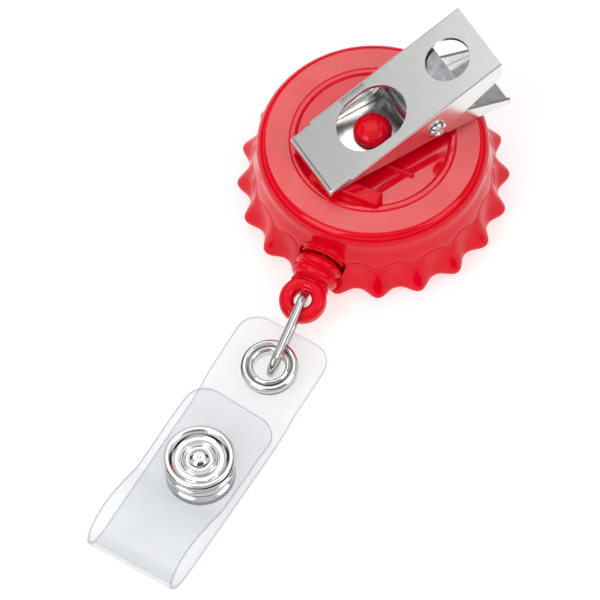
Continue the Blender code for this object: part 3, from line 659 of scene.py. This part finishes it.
def make_fitting():
    """Two ribs on a bored stem, a flat neck and an eye, melted into one moulding."""
    bore, bottom = 0.75, 2.3
    outline = [(0.0, bottom), (bore, bottom), (bore, 0.1), (2.0, 0.1)]
    for start, width, crest in FITTING_RIBS:
        for k in range(11):
            angle = math.radians(180.0 * (k + 0.5) / 11)
            outline.append((RIB_ROOT_R + (crest - RIB_ROOT_R) * math.sin(angle),
                            start + width * (0.5 - 0.5 * math.cos(angle))))
    end = FITTING_RIBS[-1][0] + FITTING_RIBS[-1][1]
    outline += [(RIB_ROOT_R - 0.4, end + 0.1), (0.0, end + 0.1)]
    place = fitting_frame(0.0) @ Matrix.Rotation(math.radians(90.0), 4, "X")
    fitting = turned("cord_tip", outline, RED, place, 64)
    rings = []
    for z, shrink in ((-0.9, 0.4), (-0.6, 0.0), (0.6, 0.0), (0.9, 0.4)):
        rings.append([((NECK_HALF - shrink) * math.cos(angle), (NECK_REACH - shrink) * math.sin(angle), z)
                      for angle in (math.radians(9.0 * k) for k in range(40))])
    neck = lofted("join_neck", rings, None, fitting_frame(NECK_L))
    section = [(EYE_RING_R + EYE_SECTION_R * squared(math.cos(a)), EYE_HALF_HEIGHT * squared(math.sin(a)))
               for a in (math.radians(12.0 * k) for k in range(30))]
    eye = turned("join_eye", section, None, fitting_frame(EYE_L), 64)
    hole = rod("cut_eye", EYE_RING_R - EYE_SECTION_R, -2.0, 2.0, fitting_frame(EYE_L), 64)
    boolean(fitting, neck, "UNION")
    boolean(fitting, eye, "UNION")
    boolean(fitting, hole)
    remesh = fitting.modifiers.new("melt", "REMESH")
    remesh.mode = "VOXEL"
    remesh.voxel_size = 0.08 * MM
    smooth = fitting.modifiers.new("soften", "SMOOTH")
    smooth.factor = 0.5
    smooth.iterations = 3
    bake(fitting, neck, eye, hole)
    fitting.data.shade_smooth()
    piece(fitting, "cord_end", "cord_end_fitting")


def make_link():
    """A flat oval of wire: two half circles and two straight runs of 12 steps."""
    near, far = Vector(LINK_A), Vector(LINK_B)
    along = (far - near).normalized()
    across = along.cross(Vector((1, 0, 0))).normalized()
    across = Matrix.Rotation(LINK_TWIST, 3, along) @ (across if across.z > 0 else -across)
    first, last = near + along * LINK_HALF_WIDTH, far - along * LINK_HALF_WIDTH
    points = []
    for centre, outward, side in ((first, -along, -across), (last, along, across)):
        for k in range(25):
            angle = math.radians(180.0 * k / 24)
            points.append(centre + LINK_HALF_WIDTH * (side * math.cos(angle) + outward * math.sin(angle)))
        start = points[-1]
        end = (last + across * LINK_HALF_WIDTH) if centre == first else (first - across * LINK_HALF_WIDTH)
        points += [start.lerp(end, k / 12) for k in range(1, 12)]
    piece(swept("wire_oval", points, LINK_WIRE_R, NICKEL_WIRE, 20, cyclic=True), "link", "wire_link")


# ---------------------------------------------------------------- strap, eyelet, snap

def make_strap():
    """One folded strip of vinyl with rounded ends and softly rounded edges."""
    path, length = even_path([Vector(point) for point in STRAP_PATH], 0.42)
    end_steps, end_zone = [0.0, 0.04, 0.12, 0.3, 0.6, 1.0, 1.5, 2.2], 2.6
    spots = [(length * i / (len(path) - 1), point) for i, point in enumerate(path)]
    inner = [spot for spot in spots if end_zone < spot[0] < length - end_zone]

    def at(distance):
        i = min(max(int(distance / length * (len(path) - 1)), 0), len(path) - 2)
        t = distance / length * (len(path) - 1) - i
        return path[i].lerp(path[i + 1], t)

    spots = [(d, at(d)) for d in end_steps] + inner + [(length - d, at(length - d)) for d in end_steps[::-1]]
    rings = []
    half_thick = STRAP_THICK / 2
    for i, (distance, point) in enumerate(spots):
        ahead = spots[min(i + 1, len(spots) - 1)][1] - spots[max(i - 1, 0)][1]
        normal = Vector((-ahead.y, ahead.x)).normalized()
        from_end = min(distance, length - distance)
        half = STRAP_HALF - STRAP_TAPER * point.x
        if from_end < STRAP_CORNER_R:
            half -= STRAP_CORNER_R - math.sqrt(STRAP_CORNER_R ** 2 - (STRAP_CORNER_R - from_end) ** 2)
        thick = half_thick * (0.62 if from_end < 0.02 else 0.9 if from_end < 0.08 else 1.0)
        ring = []
        for side in (1.0, -1.0):
            for k in range(STEPS_ACROSS + 1):
                ring.append((side * (1.0 - 2.0 * k / STEPS_ACROSS) * (half - 0.14), side * thick))
            ring += [(-side * (half - 0.04), side * thick * 0.72), (-side * half, 0.0),
                     (-side * (half - 0.04), -side * thick * 0.72)]
        skew = FLAP_SKEW * max(0.0, 1.0 - (length - distance) / FLAP_SKEW_LENGTH)
        rings.append([(point.x + normal.x * n + skew * v, v, point.y + normal.y * n) for v, n in ring])
    strap = lofted("vinyl_strap", rings, VINYL, STRAP, smooth_deg=40.0)
    strap.data.materials.append(VINYL_EDGE_SHADE)
    around = len(rings[0])
    body_faces = (len(rings) - 1) * around
    # Edge and end faces take the darker vinyl, a painted shade.
    for index, polygon in enumerate(strap.data.polygons):
        on_edge = index % around % (STEPS_ACROSS + STEPS_ROUND_EDGE) >= STEPS_ACROSS
        if index >= body_faces or on_edge:
            polygon.material_index = 1
    holes = [rod("cut_eyelet", EYELET_HOLE_R + 0.38, -1.5, 1.5, EYELET),
             rod("cut_snap_back", 1.25, 0.1, 1.1, SNAP), rod("cut_snap_front", 2.05, 3.4, 4.6, SNAP)]
    cut_away(strap, holes)
    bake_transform(strap)
    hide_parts("strap_back_layer", "strap_front_layer")


def make_eyelet():
    """A flanged barrel from below, rolled over a washer above, with a nick in its roll."""
    hole, top = EYELET_HOLE_R, STRAP_THICK / 2
    flange = EYELET_R - 0.1
    barrel = rounded([
        (hole, -0.75, 0.15), (hole, 0.6, 0.3), (hole + 0.06, 1.0, 0.2), (hole + 0.34, 1.14, 0.25),
        (hole + 0.62, 0.98, 0.15), (hole + 0.64, 0.74, 0.05), (hole + 0.3, 0.7, 0.0),
        (hole + 0.3, -top - 0.03, 0.0), (flange, -top - 0.03, 0.05), (flange, -0.5, 0.08),
        (flange - 0.4, -0.62, 0.2), (hole + 0.5, -0.75, 0.2)], 5)
    roll = turned("eyelet_roll", barrel, NICKEL_TURNED, EYELET, 112)
    nick = prism("cut_nick", [(0.6, -3.0), (0.72, -3.0), (0.66, -2.2), (0.56, -2.2)], 0.86, 1.4,
                 EYELET @ Matrix.Rotation(math.radians(60.0), 4, "Z"))
    cut_away(roll, [nick])
    ring = rounded([
        (hole + 0.4, top + 0.03, 0.0), (hole + 0.4, 0.6, 0.05), (hole + 0.72, 0.66, 0.1),
        (hole + 0.95, 1.0, 0.2), (3.3, 1.06, 0.3), (3.64, 0.82, 0.25), (EYELET_R, 0.45, 0.15),
        (EYELET_R, top + 0.03, 0.04)], 5)
    piece(roll, "strap", "eyelet")
    piece(turned("eyelet_ring", ring, NICKEL_TURNED, EYELET, 112), "strap", "eyelet_washer")


def make_snap():
    """The press snap, from the top down: dished cap, socket, stud and base."""
    edge = SNAP_R
    cap = rounded([
        (0.0, 4.93, 0.0), (0.16, 4.93, 0.05), (0.3, 5.02, 0.1), (0.8, 4.96, 0.3), (1.2, 4.66, 0.2),
        (1.4, 4.42, 0.15), (1.66, 4.42, 0.1), (1.86, 4.6, 0.1), (2.02, 4.52, 0.06), (2.2, 4.72, 0.12),
        (2.42, 4.62, 0.1), (2.6, 4.38, 0.15), (3.15, 4.36, 0.25), (3.45, 4.72, 0.2), (3.85, 5.06, 0.3),
        (4.3, 5.0, 0.25), (edge, 4.7, 0.2), (edge - 0.02, 4.45, 0.12), (4.2, 4.32, 0.1), (4.0, 4.27, 0.0),
        (1.95, 4.27, 0.0), (1.95, 3.45, 0.0), (1.75, 3.45, 0.0), (1.75, 4.15, 0.0), (0.0, 4.15, 0.0)], 4)
    button = turned("snap_button", cap, NICKEL_TURNED, SNAP, 128, 30.0)
    marks = []
    for turn in (20.0, 48.0, 75.0):
        place = SNAP @ Matrix.Rotation(math.radians(turn), 4, "Z")
        marks.append(prism(f"cut_mark_{turn:.0f}", [(2.55, -0.28), (3.3, -0.2), (3.3, 0.2), (2.55, 0.28)],
                           4.31, 4.8, place))
    cut_away(button, marks)
    socket = rounded([
        (1.8, 3.4, 0.0), (2.05, 3.2, 0.0), (2.2, 3.67, 0.0), (4.1, 3.67, 0.08), (4.5, 3.5, 0.18),
        (4.5, 2.98, 0.18), (4.15, 2.82, 0.1), (4.18, 2.2, 0.25), (3.6, 1.75, 0.25), (1.95, 1.75, 0.0),
        (1.8, 1.95, 0.0), (2.0, 2.3, 0.0), (1.8, 2.6, 0.0)], 4)
    stud = rounded([
        (0.0, 2.7, 0.0), (1.3, 2.7, 0.25), (1.62, 2.4, 0.2), (1.62, 2.15, 0.1), (1.35, 1.85, 0.1),
        (1.35, 1.3, 0.15), (3.9, 1.3, 0.12), (4.3, 1.1, 0.12), (4.3, 0.85, 0.05), (1.2, 0.85, 0.0),
        (1.2, 0.95, 0.0), (0.0, 0.95, 0.0)], 4)
    base = rounded([
        (0.0, 0.05, 0.0), (4.3, 0.05, 0.08), (4.5, 0.16, 0.06), (4.45, 0.29, 0.04), (1.1, 0.29, 0.0),
        (1.1, 0.8, 0.05), (0.0, 0.8, 0.0)], 4)
    piece(button, "strap_flap", "snap_cap")
    piece(turned("snap_clasp", socket, NICKEL_TURNED, SNAP), "strap_flap", "snap_socket")
    piece(turned("snap_post", stud, NICKEL_TURNED, SNAP), "strap", "snap_stud")
    piece(turned("snap_foot", base, NICKEL_TURNED, SNAP), "strap", "snap_base")


# ---------------------------------------------------------------- clip

def plate_z(s):
    """The top plate's height along the clip."""
    return PLATE_TIP_Z + PLATE_SLOPE * (s - TIP_S)


def stations(low, high, count, extra):
    """Evenly spaced places along the clip, with extra ones where its section changes."""
    values = [low + (high - low) * k / (count - 1) for k in range(count)] + list(extra)
    return sorted({round(value, 4) for value in values if low <= value <= high})


def stadium(start, end, radius, arc_steps=28):
    """An outline of two half circles, whose centres lie along the clip."""
    points = []
    for centre, turn in ((end, -90.0), (start, 90.0)):
        for k in range(arc_steps + 1):
            angle = math.radians(turn + 180.0 * k / arc_steps)
            points.append((centre + radius * math.cos(angle), CLIP_W + 0.1 + radius * math.sin(angle)))
    return points


def arc(w, z, radius, start_deg, end_deg, steps=5):
    """Points on an arc in the clip's cross section."""
    return [(w + radius * math.cos(math.radians(start_deg + (end_deg - start_deg) * k / steps)),
             z + radius * math.sin(math.radians(start_deg + (end_deg - start_deg) * k / steps)))
            for k in range(steps + 1)]


def make_upper_jaw():
    """Pressed plate with rounded bends, two flanges, a lip at the tip and two holes."""
    flange = [(-6.6, 15.0), (-6.2, 14.62), (0.0, 14.3), (5.0, 14.25), (6.3, 14.3), (7.6, 14.9),
              (10.0, 16.5), (15.2, 19.6), (15.9, 20.5), (THUMB_S, 21.6)]
    lip = TIP_S + 0.42
    notch = -6.6
    drop = PLATE_THICK / math.cos(math.atan(PLATE_SLOPE))
    rings = []
    cuts = (TIP_S + 0.03, TIP_S + 0.1, TIP_S + 0.22, lip, lip + 0.02, notch - 0.01, notch, -6.5, -6.4, -6.3,
            5.6, 6.3, 7.0, 15.5, 15.7, 15.9, THUMB_S - 0.04)
    for s in stations(TIP_S, THUMB_S, 60, cuts):
        rise = 0.3 - 0.3 * math.sqrt(max(0.0, 1 - (1 - min(1.0, (s - TIP_S) / 0.3)) ** 2))
        top = plate_z(s) - rise
        under = plate_z(s) - drop
        half = TIP_HALF if s < notch else PLATE_HALF
        bend = 0.28
        if s <= lip:
            under = PLATE_TIP_Z - 0.88 + 0.05 * (s - TIP_S)
        foot = read_table(flange, s) if s >= notch else under - 0.02
        inner = half - PLATE_THICK
        profile = [(-half, foot)] + arc(-half + bend, top - bend, bend, 180.0, 90.0)
        profile += arc(half - bend, top - bend, bend, 90.0, 0.0) + [(half, foot), (inner, foot)]
        profile += [(inner, under - 0.01), (inner - 0.08, under), (-inner + 0.08, under),
                    (-inner, under - 0.01), (-inner, foot)]
        rings.append([(s, w + CLIP_W, z) for w, z in profile])
    jaw = lofted("top_plate", rings, NICKEL_PLATE, CLIP, smooth_deg=28.0)
    cut_away(jaw, [prism("cut_window", stadium(-1.1, 0.53, 3.8), 15.0, 23.0, CLIP),
                   prism("cut_thumb_hole", stadium(11.19, 11.2, 2.85), 18.0, 26.0, CLIP),
                   rod("cut_upper_pin", PIN_HOLE_R, -7.0, 7.0, PIN, 32)])
    level_shading(jaw)
    piece(jaw, "clip_jaw", "clip_upper_jaw")


def make_lower_jaw():
    """Pressed channel: its web turns on the stud's neck and its flanges carry the pin."""
    web = [(-9.55, 13.02), (-4.0, 13.2), (0.0, 13.22), (6.0, 12.85), (13.6, 11.95), (17.9, 11.1)]
    flange = [(-9.55, 13.44), (-9.0, 13.5), (-6.0, 13.9), (-2.0, 14.5), (2.5, 15.0), (5.2, 17.2),
              (6.3, 17.55), (7.4, 17.3), (11.3, 15.6), (17.9, 12.35)]
    half, inner, bend = LOWER_HALF, LOWER_HALF - SHEET, 0.4
    rings = []
    for s in stations(-9.55, 17.9, 56, (-9.5, 17.85)):
        low, top = read_table(web, s), read_table(flange, s)
        corner = min(low + SHEET + 0.12, top - 0.01)
        profile = [(-half, top)] + arc(-half + bend, low + bend, bend, 180.0, 270.0)
        profile += arc(half - bend, low + bend, bend, 270.0, 360.0)
        profile += [(half, top), (inner, top), (inner, corner), (inner - 0.12, low + SHEET),
                    (-inner + 0.12, low + SHEET), (-inner, corner), (-inner, top)]
        rings.append([(s, w + CLIP_W, max(min(z, top), low)) for w, z in profile])
    jaw = lofted("base_channel", rings, NICKEL_PLATE, CLIP, smooth_deg=28.0)
    cut_away(jaw, [rod("cut_post_hole", POST_NECK_R + 0.3, 12.0, 15.0),
                   rod("cut_lower_pin", PIN_HOLE_R, -7.0, 7.0, PIN, 32)])
    level_shading(jaw)
    piece(jaw, "clip_base", "clip_lower_jaw")


def make_pin():
    """A flared tube rivet: domed rims with a hollow in each end."""
    reach = PLATE_HALF + 0.08
    head = [(1.22, reach, 0.05), (1.2, reach + 0.22, 0.12), (0.95, reach + 0.52, 0.15),
            (0.68, reach + 0.5, 0.1), (0.5, reach + 0.2, 0.15), (0.0, reach + 0.12, 0.0)]
    outline = [(r, -h, e) for r, h, e in head[::-1]] + [(PIN_R, -reach, 0.0), (PIN_R, reach, 0.0)] + head
    piece(turned("hinge_rivet", rounded(outline, 4), NICKEL_TURNED, PIN, 64), "clip_base", "clip_pivot_pin")


def make_clip_spring():
    """A strip bent round behind the pin, which presses on both jaws' thumb ends."""
    path = [Vector((11.0, 12.95)), Vector((8.6, 13.2))]
    for k in range(33):
        angle = math.radians(262.0 - 152.0 * k / 32)
        path.append(Vector((PIN_S + CLIP_SPRING_R * math.cos(angle),
                            PIN_Z + CLIP_SPRING_R * math.sin(angle))))
    path += [Vector((8.2, plate_z(8.2) - 0.95)), Vector((11.0, plate_z(11.0) - 1.05))]
    left, right = [], []
    for i, point in enumerate(path):
        ahead = path[min(i + 1, len(path) - 1)] - path[max(i - 1, 0)]
        normal = Vector((-ahead.y, ahead.x)).normalized() * CLIP_SPRING_THICK / 2
        left.append(point + normal)
        right.append(point - normal)
    outline = left + right[::-1]
    rings = [[(s, w + CLIP_W, z) for s, z in outline] for w in (-CLIP_SPRING_HALF, CLIP_SPRING_HALF)]
    spring = lofted("jaw_spring", rings, SPRING_STEEL, CLIP, smooth_deg=35.0)
    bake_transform(spring)
    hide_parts("clip_spring")


# ---------------------------------------------------------------- camera, light, floor

def make_camera():
    """A long lens, high up on the cord's side."""
    place, aim = Vector(CAMERA_PLACE) * MM, Vector(CAMERA_AIM) * MM
    back = (place - aim).normalized()
    level = Vector((0, 0, 1)).cross(back).normalized()
    rise = back.cross(level)
    right = math.cos(CAMERA_ROLL) * level + math.sin(CAMERA_ROLL) * rise
    up = -math.sin(CAMERA_ROLL) * level + math.cos(CAMERA_ROLL) * rise
    camera = bpy.data.cameras.new("camera")
    camera.sensor_width = CAMERA_SENSOR
    camera.lens = CAMERA_LENS
    camera.clip_start = 0.01
    camera.clip_end = 10.0
    obj = bpy.data.objects.new("camera", camera)
    matrix = Matrix((right, up, back)).transposed().to_4x4()
    matrix.translation = place
    obj.matrix_world = matrix
    bpy.context.scene.collection.objects.link(obj)
    bpy.context.scene.camera = obj


def softbox(name, azimuth, elevation, distance_m, size_m, brightness):
    """A square light that faces the object; brightness is what a mirror would show of it."""
    az, el = math.radians(azimuth), math.radians(elevation)
    direction = Vector((math.cos(az) * math.cos(el), math.sin(az) * math.cos(el), math.sin(el)))
    light = bpy.data.lights.new(name, "AREA")
    light.shape = "SQUARE"
    light.size = size_m
    light.energy = brightness * math.pi * size_m ** 2
    obj = bpy.data.objects.new(name, light)
    obj.location = Vector(LIGHT_TARGET) * MM + direction * distance_m
    obj.rotation_euler = direction.to_track_quat("Z", "Y").to_euler()
    bpy.context.scene.collection.objects.link(obj)


def make_world():
    """A studio tent: white overhead, with dark gaps between its panels lower down."""
    world = bpy.data.worlds.new("studio")
    world.use_nodes = True
    tree = world.node_tree
    where = tree.nodes.new("ShaderNodeTexCoord")
    split = tree.nodes.new("ShaderNodeSeparateXYZ")
    ramp = tree.nodes.new("ShaderNodeValToRGB")
    tree.links.new(where.outputs["Generated"], split.inputs["Vector"])
    tree.links.new(split.outputs["Z"], ramp.inputs["Fac"])
    tree.links.new(ramp.outputs["Color"], tree.nodes["Background"].inputs["Color"])
    stops = ((0.0, 0.01), (0.3, 0.01), (0.37, 0.85), (0.6, 0.8), (0.67, 0.04), (0.76, 0.04), (0.85, 0.66),
             (1.0, 0.72))
    elements = ramp.color_ramp.elements
    for i, (place, value) in enumerate(stops):
        element = elements[i] if i < 2 else elements.new(place)
        element.position = place
        element.color = (value, value, value, 1.0)
    bpy.context.scene.world = world


def make_floor():
    """A white light table: its own glow keeps the shadows faint."""
    material, tree, shader = new_material("pale_floor", (0.5, 0.5, 0.5), 0.8)
    tint(tree, shader, noise(tree, 4.0), (0.49, 0.49, 0.49), (0.51, 0.51, 0.51))
    shader.inputs["Emission Color"].default_value = (1.0, 1.0, 1.0, 1.0)
    shader.inputs["Emission Strength"].default_value = 0.62
    bm = bmesh.new()
    for x, y in ((-1, -1), (1, -1), (1, 1), (-1, 1)):
        bm.verts.new((x * TABLE_HALF, y * TABLE_HALF, TABLE_Z))
    bm.faces.new(bm.verts)
    floor = finish_mesh(bm, "floor", material, WORLD)


def paint_hidden_parts():
    """The frame's own solids inside the case stay, with finished materials."""
    for node, material in (("spool", ACETAL), ("cord_winding", CORD), ("power_spring", SPRING_STEEL)):
        obj = frame["nodes"][node]
        obj.data.materials.clear()
        obj.data.materials.append(material)


make_camera()
make_world()
make_floor()
softbox("back_softbox", 128.0, 60.0, 0.62, 0.45, 1.1)
softbox("front_softbox", 248.0, 48.0, 0.6, 0.28, 4.2)
softbox("right_softbox", 5.0, 48.0, 0.6, 0.26, 3.0)
make_front_shell()
make_back_shell()
make_case_details()
make_nozzle()
make_post()
make_cord_run()
make_fitting()
make_link()
make_eyelet()
make_snap()
make_strap()
make_upper_jaw()
make_lower_jaw()
make_pin()
make_clip_spring()
paint_hidden_parts()
bpy.context.scene.view_settings.view_transform = "Standard"
